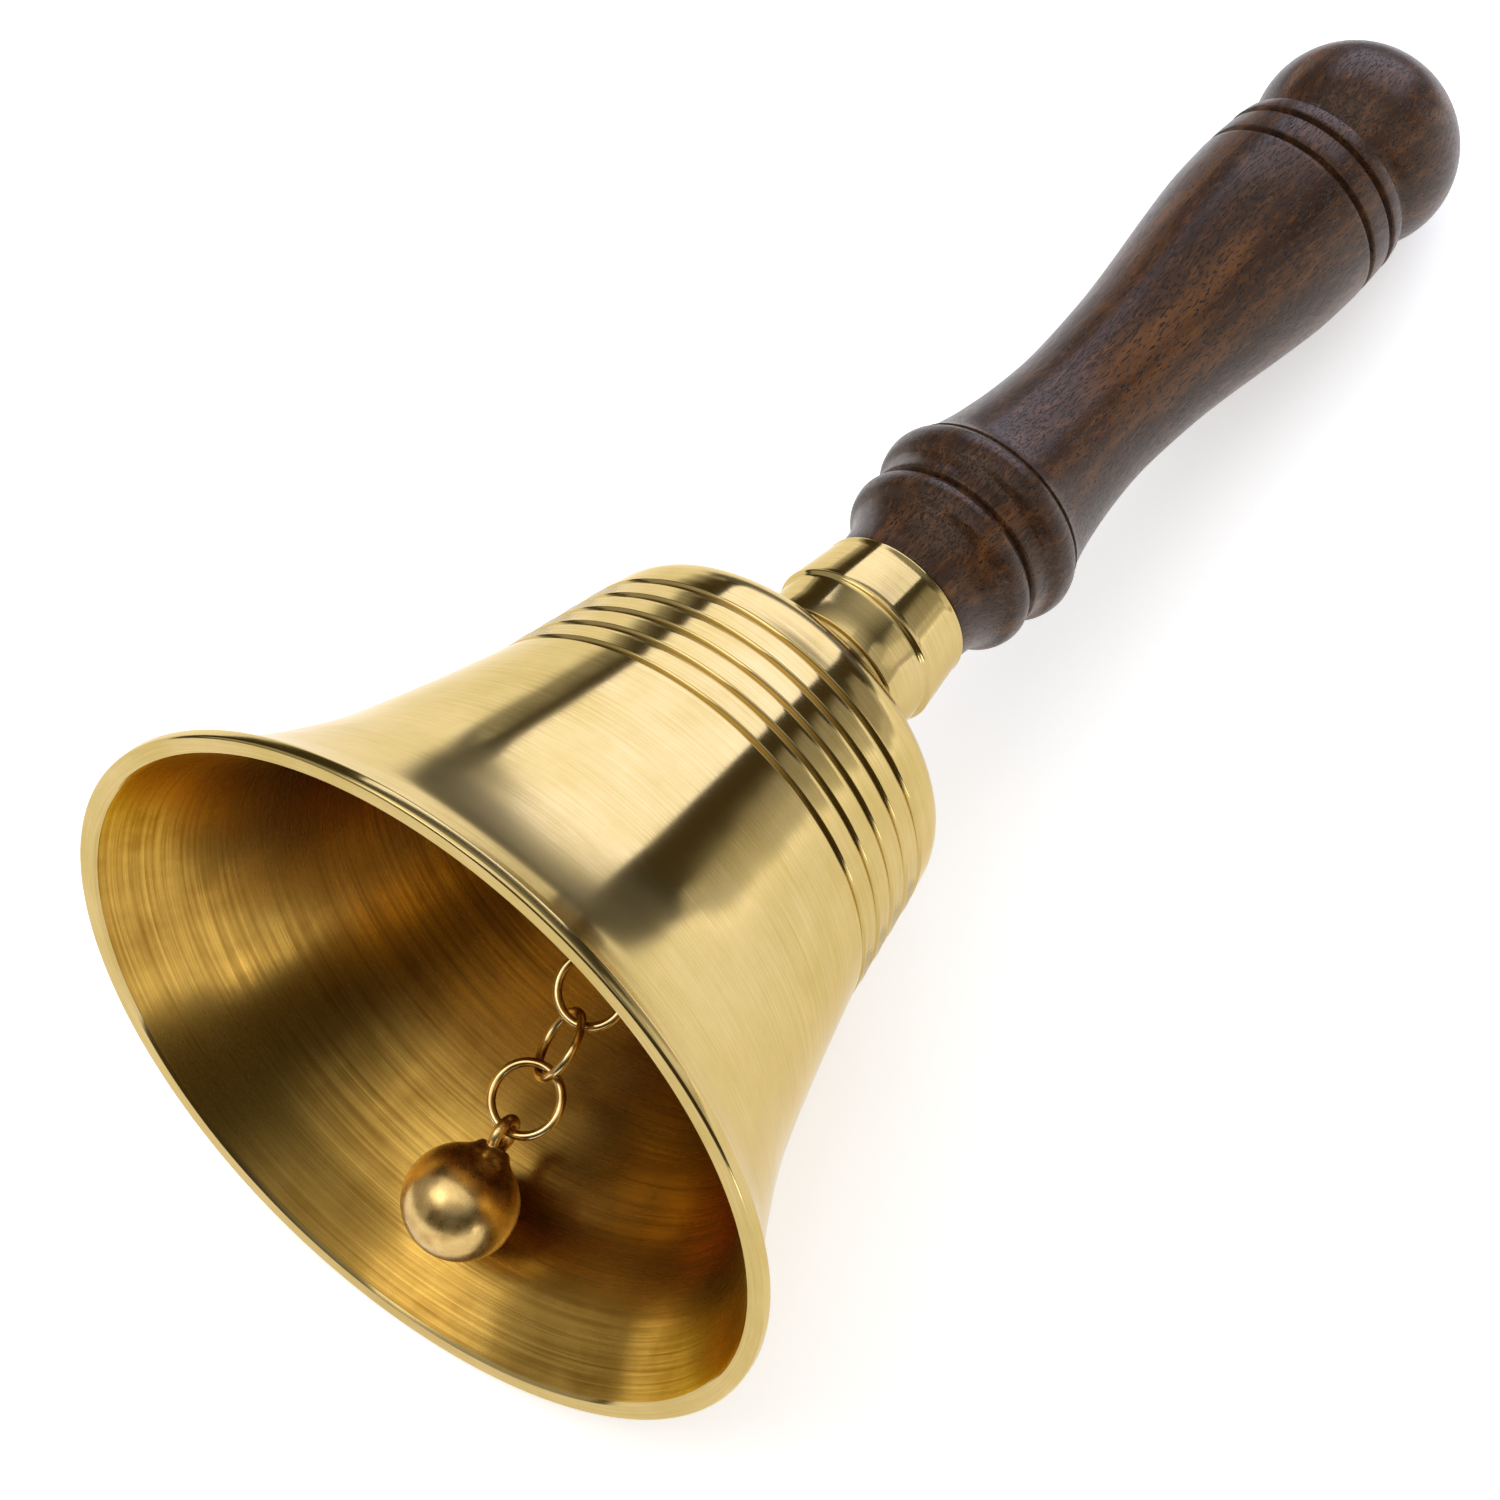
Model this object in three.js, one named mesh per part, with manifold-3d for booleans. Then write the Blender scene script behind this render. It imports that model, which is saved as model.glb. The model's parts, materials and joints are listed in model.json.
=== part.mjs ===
// Sanctus bell: a turned brass hand bell with a turned hardwood handle, rung by a brass clapper on a
// short chain of round rings. Lengths are millimetres and angles are degrees unless a name says so.
//
// The bell is modelled upright on its own axis, mouth at height 0 and handle upwards, with local +X as
// the side that it lies on. The whole group is then laid down, resting on the rim and on the pommel,
// with +Z up, +X from the mouth towards the pommel and the origin under the middle of its box.
import * as THREE from "three";
import { mergeVertices } from "three/addons/utils/BufferGeometryUtils.js";
import Module from "manifold-3d";

// Driving dimensions of the bell.
const MOUTH_RADIUS = 48;
const RIM_ROUND = 0.8;
const CROWN_TOP = 71.2;
const CROWN_FLAT_RADIUS = 11.2;
const CROWN_THICKNESS = 2.6;
const GROOVES = 5;
const LOWEST_GROOVE = { radius: 27.7, height: 45.2 };
const HIGHEST_GROOVE = { radius: 24.95, height: 59.3 };
const GROOVE_DEPTH = 0.45;
const GROOVE_HALF_WIDTH = 0.35;

// Driving dimensions of the neck and the handle.
const FIT_GAP = 0.3;
const FERRULE_FOOT = CROWN_TOP + FIT_GAP;
const FERRULE_FLOOR = FERRULE_FOOT + 2.5;
const FERRULE_TOP = 88.5;
const SOCKET_RADIUS = 8;
const POMMEL_RADIUS = 13;
const POMMEL_HEIGHT = 184;

// Driving dimensions of the eye bolt that runs through the crown into the handle, and of its nut.
const BOLT_RADIUS = 2.5;
const BOLT_TOP = 128;
const BOLT_HOLE_RADIUS = BOLT_RADIUS + FIT_GAP;
const EYE_RADIUS = 3.3;
const EYE_WIRE = 1.0;
const EYE_BOTTOM = 50.5;
const WASHER = { radius: 7, thickness: 1.2 };
const NUT = { acrossFlats: 8, thickness: 4 };

// Driving dimensions of the chain and the clapper. A ring's radius is to the middle of its wire.
const LINKS = 6;
const LINK_RADIUS = 4.25;
const LINK_WIRE = 0.55;
const LINK_PLAY = 0.15;
const CLAPPER_BALL_RADIUS = 6.85;
const CLAPPER_EYE_RADIUS = 2.0;
const CLAPPER_EYE_WIRE = 0.7;
const CLAPPER_LENGTH = 11;
const LINK_BEND = 2.2;
const CLAPPER_REST_GAP = 0.3;

// How finely round things are cut into flats.
const BELL_SIDES = 48;
const HANDLE_SIDES = 36;
const SMALL_SIDES = 24;

const wasm = await Module();
wasm.setup();

const polishedBrass = new THREE.MeshStandardMaterial({ color: "#d8b76a", roughness: 0.28, metalness: 1 });
const agedBrass = new THREE.MeshStandardMaterial({ color: "#a88446", roughness: 0.35, metalness: 1 });
const zincSteel = new THREE.MeshStandardMaterial({ color: "#b4b2ab", roughness: 0.4, metalness: 1 });
const darkHardwood = new THREE.MeshStandardMaterial({ color: "#40261a", roughness: 0.45, metalness: 0 });

const radians = THREE.MathUtils.degToRad;

function point(radius, height) {
  return new THREE.Vector2(radius, height);
}

function arc(radius, height, size, from, to, steps) {
  return Array.from({ length: steps + 1 }, (_, i) => {
    const angle = radians(from + ((to - from) * i) / steps);
    return point(radius + size * Math.cos(angle), height + size * Math.sin(angle));
  });
}

// A smooth outline through [radius, height] pairs.
function sweep(pairs, steps) {
  return new THREE.SplineCurve(pairs.map(([radius, height]) => point(radius, height))).getPoints(steps);
}

// A solid turned about +Z, with the middle of one flat towards local +X.
function turned(profile, sides) {
  const geometry = new THREE.LatheGeometry(profile, sides);
  geometry.rotateY(Math.PI / sides);
  return geometry.rotateX(Math.PI / 2);
}

function solidOf(geometry) {
  const bare = geometry.clone();
  bare.deleteAttribute("normal");
  bare.deleteAttribute("uv");
  const merged = mergeVertices(bare, 1e-4);
  return new wasm.Manifold(
    new wasm.Mesh({
      numProp: 3,
      vertProperties: merged.attributes.position.array,
      triVerts: new Uint32Array(merged.index.array),
    }),
  );
}

function geometryOf(solid) {
  const mesh = solid.getMesh();
  const geometry = new THREE.BufferGeometry();
  geometry.setAttribute("position", new THREE.BufferAttribute(mesh.vertProperties, 3));
  geometry.setIndex(new THREE.BufferAttribute(mesh.triVerts, 1));
  return geometry;
}

function joined(...geometries) {
  return geometryOf(geometries.map(solidOf).reduce((whole, next) => whole.add(next)));
}

function piece(name, geometry, material) {
  const mesh = new THREE.Mesh(geometry, material);
  mesh.name = name;
  return mesh;
}

// The rim: a narrow flat face to stand on, a rounded edge, and a fine line where the flare begins.
function rimOutline() {
  const faceEdge = MOUTH_RADIUS - RIM_ROUND;
  return [
    ...arc(faceEdge, RIM_ROUND, RIM_ROUND, -90, 0, 3),
    point(MOUTH_RADIUS - 0.15, 1.5),
    point(MOUTH_RADIUS - 0.9, 1.8),
  ];
}

function flareOutline() {
  const upper = [LOWEST_GROOVE.radius, LOWEST_GROOVE.height - 1];
  return sweep([[46.8, 1.9], [44.2, 5.4], [40.6, 10.8], [36.8, 18], [33.1, 27], [29.9, 37.6], upper], 8);
}

// Fine V grooves, evenly spaced along the straight shoulder.
function grooveOutline() {
  const outline = [];
  for (let i = 0; i < GROOVES; i += 1) {
    const share = i / (GROOVES - 1);
    const radius = THREE.MathUtils.lerp(LOWEST_GROOVE.radius, HIGHEST_GROOVE.radius, share);
    const height = THREE.MathUtils.lerp(LOWEST_GROOVE.height, HIGHEST_GROOVE.height, share);
    outline.push(point(radius + 0.07, height - GROOVE_HALF_WIDTH));
    outline.push(point(radius - GROOVE_DEPTH, height));
    outline.push(point(radius - 0.07, height + GROOVE_HALF_WIDTH));
  }
  return outline;
}

function crownOutline() {
  const roundedShoulder = [[24.4, 61.9], [23.85, 63.7], [22.5, 65.6], [20.3, 67.2], [17, 69], [13.8, 70.4]];
  return [...sweep(roundedShoulder, 6), point(CROWN_FLAT_RADIUS, CROWN_TOP), point(BOLT_HOLE_RADIUS, CROWN_TOP)];
}

function insideOutline() {
  const ceiling = CROWN_TOP - CROWN_THICKNESS;
  const vault = [[11, ceiling], [15.2, 67.2], [18.6, 65.4], [20.9, 63.1], [22.2, 60]];
  const wall = [[23.3, 55], [25.6, 45.2], [28.4, 36], [31, 27], [34.6, 18], [38.3, 10.8], [41.9, 5.4], [45.5, 0.4]];
  return [point(BOLT_HOLE_RADIUS, ceiling), ...sweep(vault, 4), ...sweep(wall, 8), point(45.9, 0)];
}

function bellShell() {
  const profile = [...rimOutline(), ...flareOutline(), ...grooveOutline(), ...crownOutline(), ...insideOutline()];
  return turned([...profile, profile[0]], BELL_SIDES);
}

// The neck: a stepped, tapering brass socket that stands on the crown and holds the handle's tenon.
function neckFerrule() {
  const profile = [
    point(BOLT_HOLE_RADIUS, FERRULE_FOOT),
    point(11, FERRULE_FOOT),
    point(11, 72.5),
    point(10.1, 73.4),
    point(10, 74.1),
    point(10.45, 74.5),
    point(10.45, 79.8),
    point(10.95, 80.5),
    point(9.85, 87.9),
    point(9.5, FERRULE_TOP),
    point(SOCKET_RADIUS, FERRULE_TOP),
    point(SOCKET_RADIUS, FERRULE_FLOOR),
    point(BOLT_HOLE_RADIUS, FERRULE_FLOOR),
  ];
  return turned([...profile, profile[0]], HANDLE_SIDES);
}

function handleTenon() {
  const radius = SOCKET_RADIUS - FIT_GAP;
  const foot = FERRULE_FLOOR + FIT_GAP;
  return [
    point(0, BOLT_TOP + FIT_GAP),
    point(BOLT_HOLE_RADIUS, BOLT_TOP + FIT_GAP),
    point(BOLT_HOLE_RADIUS, foot),
    point(radius - 0.5, foot),
    point(radius, foot + 0.5),
    point(radius, FERRULE_TOP + FIT_GAP),
  ];
}

function handleBeads() {
  return [
    point(9.3, FERRULE_TOP + FIT_GAP),
    ...sweep([[9.45, 90.2], [9.75, 92.4], [10.8, 94.7]], 3),
    ...arc(10.45, 97.3, 1.9, -65, 68, 4),
    point(10.95, 99.4),
    point(11.55, 99.9),
    point(11.6, 101.2),
    ...arc(11.5, 104.6, 1.95, -72, 72, 4),
    point(11.8, 106.9),
  ];
}

function handleGrip() {
  const waist = [[12.1, 107.3], [10.7, 113.6], [9.5, 127.5], [10.3, 141], [11.9, 153], [13, 165], [13.05, 168]];
  const cut = 0.65;
  return [
    ...sweep(waist, 10),
    point(13.05 - cut, 168.2),
    point(13.05 - cut, 168.8),
    point(13.05, 169),
    point(12.95, 172.5),
    point(12.9 - cut, 172.7),
    point(12.9 - cut, 173.3),
    point(12.75, 173.5),
    point(12.65, 175.2),
    point(12.2, 176.1),
    point(11.5, 177),
  ];
}

function handle() {
  const pommel = arc(0, POMMEL_HEIGHT, POMMEL_RADIUS, -26, 90, 8);
  pommel[pommel.length - 1].x = 0;
  return turned([...handleTenon(), ...handleBeads(), ...handleGrip(), ...pommel], HANDLE_SIDES);
}

function eyeBolt() {
  const eyeTop = EYE_BOTTOM + 2 * EYE_RADIUS;
  const shank = turned(
    [
      point(0, eyeTop - 0.2),
      point(1.1, eyeTop - 0.2),
      point(BOLT_RADIUS, eyeTop + 2),
      point(BOLT_RADIUS, BOLT_TOP - 0.8),
      point(BOLT_RADIUS - 0.8, BOLT_TOP),
      point(0, BOLT_TOP),
    ],
    SMALL_SIDES,
  );
  const eye = new THREE.TorusGeometry(EYE_RADIUS, EYE_WIRE, 8, 20);
  eye.rotateY(Math.PI / 2);
  eye.translate(0, 0, EYE_BOTTOM + EYE_RADIUS);
  return joined(shank, eye);
}

const WASHER_TOP = CROWN_TOP - CROWN_THICKNESS - FIT_GAP;
const NUT_TOP = WASHER_TOP - WASHER.thickness - FIT_GAP;

function crownWasher() {
  const foot = WASHER_TOP - WASHER.thickness;
  const profile = [
    point(BOLT_HOLE_RADIUS, foot),
    point(WASHER.radius, foot),
    point(WASHER.radius, WASHER_TOP),
    point(BOLT_HOLE_RADIUS, WASHER_TOP),
  ];
  return turned([...profile, profile[0]], SMALL_SIDES);
}

function clampNut() {
  const corner = NUT.acrossFlats / 2 / Math.cos(Math.PI / 6);
  const outline = new THREE.Shape(
    Array.from({ length: 6 }, (_, i) => {
      const angle = (i * Math.PI) / 3;
      return point(corner * Math.cos(angle), corner * Math.sin(angle));
    }),
  );
  outline.holes.push(new THREE.Path().absarc(0, 0, BOLT_HOLE_RADIUS, 0, 2 * Math.PI, true));
  const nut = new THREE.ExtrudeGeometry(outline, { depth: NUT.thickness, bevelEnabled: false, curveSegments: 12 });
  return nut.translate(0, 0, NUT_TOP - NUT.thickness);
}

// A ring that hangs from the pivot at its local origin, towards local -Z. Even rings lie in the XZ plane
// and odd rings in the YZ plane, so that each one passes squarely through the next.
function chainRing(number, drop) {
  const ring = new THREE.TorusGeometry(LINK_RADIUS, LINK_WIRE, 8, 20);
  if (number % 2 === 0) ring.rotateX(Math.PI / 2);
  else ring.rotateY(Math.PI / 2);
  return ring.translate(0, 0, drop - LINK_RADIUS);
}

// The clapper is one casting: a ball, a flared neck and an eye.
function clapper(drop) {
  const eyeCentre = drop - CLAPPER_EYE_RADIUS;
  const ballCentre = drop - CLAPPER_LENGTH;
  const eye = new THREE.TorusGeometry(CLAPPER_EYE_RADIUS, CLAPPER_EYE_WIRE, 8, 20);
  eye.rotateX(Math.PI / 2).translate(0, 0, eyeCentre);
  const ball = new THREE.SphereGeometry(CLAPPER_BALL_RADIUS, 24, 14);
  ball.rotateX(Math.PI / 2).translate(0, 0, ballCentre);
  const neckTop = eyeCentre - CLAPPER_EYE_RADIUS + 0.3;
  const neck = turned(
    [
      point(0, ballCentre),
      point(3.1, ballCentre + 5.6),
      point(2.1, ballCentre + 6.4),
      point(1.5, neckTop),
      point(0, neckTop),
    ],
    16,
  );
  return joined(ball, neck, eye);
}

// How far a hanging piece's own wire stands above the wire that it hangs from.
function dropFrom(holdingWire, hangingWire) {
  return holdingWire + hangingWire + LINK_PLAY;
}

// Every ring and the clapper as [drop, length]: from pivot to pivot, and from the last pivot to the ball.
function chainSteps() {
  const first = dropFrom(EYE_WIRE, LINK_WIRE);
  const next = dropFrom(LINK_WIRE, LINK_WIRE);
  const last = dropFrom(LINK_WIRE, CLAPPER_EYE_WIRE);
  const drops = [first, ...Array(LINKS - 1).fill(next)];
  return [...drops.map((drop) => [drop, 2 * LINK_RADIUS - drop]), [last, CLAPPER_LENGTH - last]];
}

// Where the ball's centre lies when the top ring leans at the given angle from straight down.
function ballCentreAt(lean) {
  const centre = point(0, EYE_BOTTOM);
  chainSteps().forEach(([, length], i) => {
    const angle = radians(lean - i * LINK_BEND);
    centre.x += length * Math.sin(angle);
    centre.y -= length * Math.cos(angle);
  });
  return centre;
}

// The gap between the ball and the flats of the bell's inner wall.
function ballGapAt(lean) {
  const centre = ballCentreAt(lean);
  const flat = Math.cos(Math.PI / BELL_SIDES);
  const wall = insideOutline().map(({ x, y }) => new THREE.Vector3(x * flat, 0, y));
  const nearest = new THREE.Vector3();
  const ball = new THREE.Vector3(centre.x, 0, centre.y);
  const distances = wall.slice(1).map((end, i) => {
    new THREE.Line3(wall[i], end).closestPointToPoint(ball, true, nearest);
    return nearest.distanceTo(ball);
  });
  return Math.min(...distances) - CLAPPER_BALL_RADIUS;
}

// The lean at which the clapper comes to rest against the wall that faces down.
function restLean() {
  let [low, high] = [20, 70];
  for (let i = 0; i < 30; i += 1) {
    const middle = (low + high) / 2;
    if (ballGapAt(middle) > CLAPPER_REST_GAP) low = middle;
    else high = middle;
  }
  return low;
}

// The chain is a nest of groups: each group's origin is the pivot that its piece swings on.
function chain() {
  const steps = chainSteps();
  const top = new THREE.Group();
  top.position.z = EYE_BOTTOM;
  top.rotation.y = -radians(restLean());
  let pivot = top;
  for (let number = LINKS; number >= 0; number -= 1) {
    const [drop, length] = steps[LINKS - number];
    const name = number ? `chain_link_${number}` : "clapper";
    pivot.name = `${name}_pivot`;
    pivot.add(piece(name, number ? chainRing(number, drop) : clapper(drop), agedBrass));
    if (!number) break;
    const below = new THREE.Group();
    below.position.z = -length;
    below.rotation.y = radians(LINK_BEND);
    pivot.add(below);
    pivot = below;
  }
  return top;
}

const bell = new THREE.Group();
bell.add(
  piece("bell_shell", bellShell(), polishedBrass),
  piece("neck_ferrule", neckFerrule(), polishedBrass),
  piece("handle", handle(), darkHardwood),
  piece("eye_bolt", eyeBolt(), zincSteel),
  piece("crown_washer", crownWasher(), agedBrass),
  piece("clamp_nut", clampNut(), zincSteel),
  chain(),
);

// The axis dips towards the handle by the angle at which the rim and the pommel touch the same floor.
const span = Math.hypot(MOUTH_RADIUS, POMMEL_HEIGHT - RIM_ROUND);
const dip = Math.acos(POMMEL_RADIUS / span) - Math.atan2(POMMEL_HEIGHT - RIM_ROUND, MOUTH_RADIUS);
bell.rotation.y = Math.PI / 2 + dip;

const part = new THREE.Group();
part.add(bell);
part.updateMatrixWorld(true);
const box = new THREE.Box3().setFromObject(bell, true);
const middle = box.getCenter(new THREE.Vector3());
bell.position.set(-middle.x, -middle.y, -box.min.z);

export default part;
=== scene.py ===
# %% Load the frame
import json
import math

import bmesh
import bpy
from mathutils import Matrix, Vector


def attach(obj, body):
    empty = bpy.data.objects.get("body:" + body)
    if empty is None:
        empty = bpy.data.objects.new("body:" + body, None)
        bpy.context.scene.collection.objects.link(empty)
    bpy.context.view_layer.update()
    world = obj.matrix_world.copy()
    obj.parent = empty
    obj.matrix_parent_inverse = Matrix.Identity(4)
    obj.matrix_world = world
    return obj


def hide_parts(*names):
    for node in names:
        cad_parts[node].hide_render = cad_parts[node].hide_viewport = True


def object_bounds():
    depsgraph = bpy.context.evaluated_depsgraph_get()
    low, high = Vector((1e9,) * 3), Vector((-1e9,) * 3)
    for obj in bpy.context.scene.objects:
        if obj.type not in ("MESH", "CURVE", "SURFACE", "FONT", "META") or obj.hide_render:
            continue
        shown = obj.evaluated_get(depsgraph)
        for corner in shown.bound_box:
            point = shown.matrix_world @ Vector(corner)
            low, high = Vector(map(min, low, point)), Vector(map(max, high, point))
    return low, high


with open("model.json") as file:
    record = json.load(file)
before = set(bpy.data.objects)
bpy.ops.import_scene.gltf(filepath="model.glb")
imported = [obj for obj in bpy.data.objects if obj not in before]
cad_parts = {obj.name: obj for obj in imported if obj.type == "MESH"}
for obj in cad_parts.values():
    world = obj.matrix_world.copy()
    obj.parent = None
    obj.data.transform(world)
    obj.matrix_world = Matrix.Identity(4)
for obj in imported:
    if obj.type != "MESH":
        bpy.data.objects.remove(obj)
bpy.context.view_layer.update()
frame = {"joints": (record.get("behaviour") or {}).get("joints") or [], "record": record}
record = frame["record"]

# %% [markdown]
# # A sanctus bell, turned in brass and dark hardwood
#
# The bell lies on its side, on its rim and on the ball at the end of its handle. Almost every piece of
# it came off a lathe, so almost every piece is easiest to draw upright: the bell's own frame has its
# mouth at height 0 and its handle upwards, in millimetres, with +X on the side that lies on the table.
# The flat face of the rim says where that frame is. Its centre is on the bell's axis and the way that
# it faces is down the axis, so one matrix takes a piece from the lathe to its place on the table.

# %% The bell's own frame
MM = 0.001
rim_face = next(mount for mount in record["mounts"] if mount["name"] == "rim_face")
axis = -Vector(rim_face["axis"]).normalized()
mouth = Vector((rim_face["pos_m"][0], 0, rim_face["pos_m"][2]))
across = Vector((0, 1, 0))
downhill = across.cross(axis)
bell_turn = Matrix((downhill, across, axis)).transposed().to_4x4()
bell_place = Matrix.Translation(mouth) @ bell_turn @ Matrix.Scale(MM, 4)
print("The bell's axis dips", round(math.degrees(math.asin(-axis.z)), 2), "degrees towards its handle")

# %% [markdown]
# ## Building blocks
#
# A node tree, whether it makes a shape or a surface, is a row of small steps. One helper adds a step:
# it names the kind of node, its settings, and what goes into each input, either a plain value or the
# output of an earlier node. Colours are written as they look on a screen and turned to linear light.

# %% One helper adds a node
def add_node(tree, kind, inputs=None, **settings):
    made = tree.nodes.new(kind)
    for name, value in settings.items():
        setattr(made, name, value)
    for name, value in (inputs or {}).items():
        if isinstance(value, bpy.types.NodeSocket):
            tree.links.new(value, made.inputs[name])
        else:
            made.inputs[name].default_value = value
    return made


# %% Screen colours to linear light
def linear(hex_colour, alpha=1.0):
    channels = [int(hex_colour[i:i + 2], 16) / 255 for i in (1, 3, 5)]
    return [c / 12.92 if c <= 0.04045 else ((c + 0.055) / 1.055) ** 2.4 for c in channels] + [alpha]


# %% [markdown]
# ## Brass, as the lathe left it
#
# The bell is cast in brass and turned all over, then polished while it still spins. Polishing wears the
# tool marks down but leaves fine scratches that all run round the bell. They smear each reflection
# along the axis and keep it sharp round it, which is why the highlights on a turned bell are long
# streaks from crown to mouth. That smear is anisotropy, and it needs to know which way the scratches
# run: every turned piece carries a map named "turning" whose first number goes once round the axis and
# whose second is the way along the outline in millimetres. The map's tangent runs round the bell, along
# the scratches, and a quarter turn sets the smear across them.
#
# The real scratches are a few hundredths of a millimetre apart, too fine to show, so they are drawn
# about five times coarser. Clouds a centimetre or two across make the brass a little darker and duller
# together, the way handling does.

# %% Where a finish is on the bell
def bell_coordinates(tree):
    """The point being shaded in the bell's own frame, in millimetres."""
    place = add_node(tree, "ShaderNodeTexCoord")
    back = bell_place.inverted()
    return add_node(tree, "ShaderNodeMapping", {
        "Vector": place.outputs["Object"],
        "Location": back.to_translation(),
        "Rotation": back.to_euler(),
        "Scale": back.to_scale(),
    }).outputs[0]


def new_finish(name):
    finish = bpy.data.materials.new(name)
    finish.use_nodes = True
    tree = finish.node_tree
    return finish, tree, tree.nodes["Principled BSDF"]


# %% Turned brass
SCRATCH_SLANT = 0.012  # how fast a scratch changes across the bell, for each change along the outline
QUARTER_TURN = 0.25


def turned_brass(name, light, dark, edge, roughness, line_gap, line_depth, anisotropy):
    """Brass with scratches round the axis, line_gap apart along the outline, and line_depth deep."""
    finish, tree, shader = new_finish(name)
    turning = add_node(tree, "ShaderNodeUVMap", uv_map="turning")
    run = add_node(tree, "ShaderNodeSeparateXYZ", {0: turning.outputs[0]}).outputs[1]
    at = add_node(tree, "ShaderNodeSeparateXYZ", {0: bell_coordinates(tree)})
    unrolled = add_node(tree, "ShaderNodeCombineXYZ", {0: at.outputs[0], 1: at.outputs[1], 2: run})
    scratch_place = add_node(tree, "ShaderNodeVectorMath", {
        0: unrolled.outputs[0], 1: (SCRATCH_SLANT / line_gap, SCRATCH_SLANT / line_gap, 1 / line_gap)},
        operation="MULTIPLY")
    scratches = add_node(tree, "ShaderNodeTexNoise", {
        "Vector": scratch_place.outputs[0], "Scale": 1.0, "Detail": 3.0, "Roughness": 0.6})
    clouds = add_node(tree, "ShaderNodeTexNoise", {
        "Vector": bell_coordinates(tree), "Scale": 0.06, "Detail": 4.0, "Roughness": 0.65})
    haze = add_node(tree, "ShaderNodeMath", {
        0: scratches.outputs["Fac"], 1: clouds.outputs["Fac"]}, operation="ADD").outputs[0]
    tone = add_node(tree, "ShaderNodeMapRange", {
        "Value": haze, "From Min": 0.7, "From Max": 1.3})
    tree.links.new(add_node(tree, "ShaderNodeMix", {
        "Factor": tone.outputs[0], 6: linear(dark), 7: linear(light)}, data_type="RGBA").outputs[2],
        shader.inputs["Base Color"])
    polish = add_node(tree, "ShaderNodeMapRange", {
        "Value": haze, "From Min": 0.6, "From Max": 1.4,
        "To Min": roughness * 1.35, "To Max": roughness * 0.7})
    tree.links.new(polish.outputs[0], shader.inputs["Roughness"])
    relief = add_node(tree, "ShaderNodeBump", {
        "Height": scratches.outputs["Fac"], "Strength": 1.0, "Distance": line_depth * MM})
    tree.links.new(relief.outputs[0], shader.inputs["Normal"])
    tangent = add_node(tree, "ShaderNodeTangent", direction_type="UV_MAP", uv_map="turning")
    tree.links.new(tangent.outputs[0], shader.inputs["Tangent"])
    shader.inputs["Metallic"].default_value = 1.0
    shader.inputs["Anisotropic"].default_value = anisotropy
    shader.inputs["Anisotropic Rotation"].default_value = QUARTER_TURN
    shader.inputs["Specular Tint"].default_value = linear(edge)
    return finish


polished_brass = turned_brass(
    "polished_brass", light="#CDB580", dark="#B69E5A", edge="#FFF5DA",
    roughness=0.14, line_gap=0.14, line_depth=0.0008, anisotropy=0.75)
# The inside's brass is painted darker and browner than the outside's, as painted shade for the hollow of the
# bell.
shaded_bored_brass = turned_brass(
    "shaded_bored_brass", light="#CFA651", dark="#8A6424", edge="#EACB86",
    roughness=0.27, line_gap=0.4, line_depth=0.008, anisotropy=0.7)
washer_brass = turned_brass(
    "washer_brass", light="#C79F57", dark="#96713A", edge="#E8D0A0",
    roughness=0.35, line_gap=0.2, line_depth=0.002, anisotropy=0.4)
print("Turned finishes:", polished_brass.name, shaded_bored_brass.name, washer_brass.name)


# %% [markdown]
# The chain and the clapper were never on a lathe for long: the rings are drawn wire bent round a rod,
# and the clapper is a casting that was tumbled smooth. Handling has darkened them to an even old gold,
# with a browner skin in patches, so their brass is drawn without scratches but with soft dimples.

# %% Tumbled brass
def tumbled_brass(name, light, dark, roughness, dimple):
    """Metal with no scratches but with soft dimples, that many millimetres deep."""
    finish, tree, shader = new_finish(name)
    at = bell_coordinates(tree)
    skin = add_node(tree, "ShaderNodeTexNoise", {
        "Vector": at, "Scale": 0.35, "Detail": 3.0, "Roughness": 0.5})
    tone = add_node(tree, "ShaderNodeMapRange", {
        "Value": skin.outputs["Fac"], "From Min": 0.35, "From Max": 0.65})
    tree.links.new(add_node(tree, "ShaderNodeMix", {
        "Factor": tone.outputs[0], 6: linear(dark), 7: linear(light)}, data_type="RGBA").outputs[2],
        shader.inputs["Base Color"])
    grain = add_node(tree, "ShaderNodeTexNoise", {"Vector": at, "Scale": 0.9, "Detail": 2.0})
    tree.links.new(add_node(tree, "ShaderNodeMapRange", {
        "Value": grain.outputs["Fac"], "To Min": roughness * 1.4, "To Max": roughness * 0.6}).outputs[0],
        shader.inputs["Roughness"])
    relief = add_node(tree, "ShaderNodeBump", {
        "Height": skin.outputs["Fac"], "Strength": 1.0, "Distance": dimple * MM})
    tree.links.new(relief.outputs[0], shader.inputs["Normal"])
    shader.inputs["Metallic"].default_value = 1.0
    return finish


clapper_brass = tumbled_brass("clapper_brass", "#E6C684", "#C6A264", 0.28, 0.012)
wire_brass = tumbled_brass("wire_brass", "#E2C791", "#BE9A5E", 0.18, 0.01)
zinc_steel = tumbled_brass("zinc_steel", "#C8C6BE", "#94928B", 0.38, 0.02)
print("Tumbled finishes:", clapper_brass.name, wire_brass.name, zinc_steel.name)

# %% [markdown]
# ## Dark hardwood
#
# The handle is turned from one straight-grained billet, stained nearly black-brown and lacquered. Three
# things make it read as wood and not as plastic. Broad streaks of redder and blacker wood run the length
# of the handle. Open pores, short dark dashes a quarter of a millimetre wide and a millimetre or two
# long, lie along the grain. And the lacquer is a clear coat of its own over them, a little uneven, that gives
# soft highlights.

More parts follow.
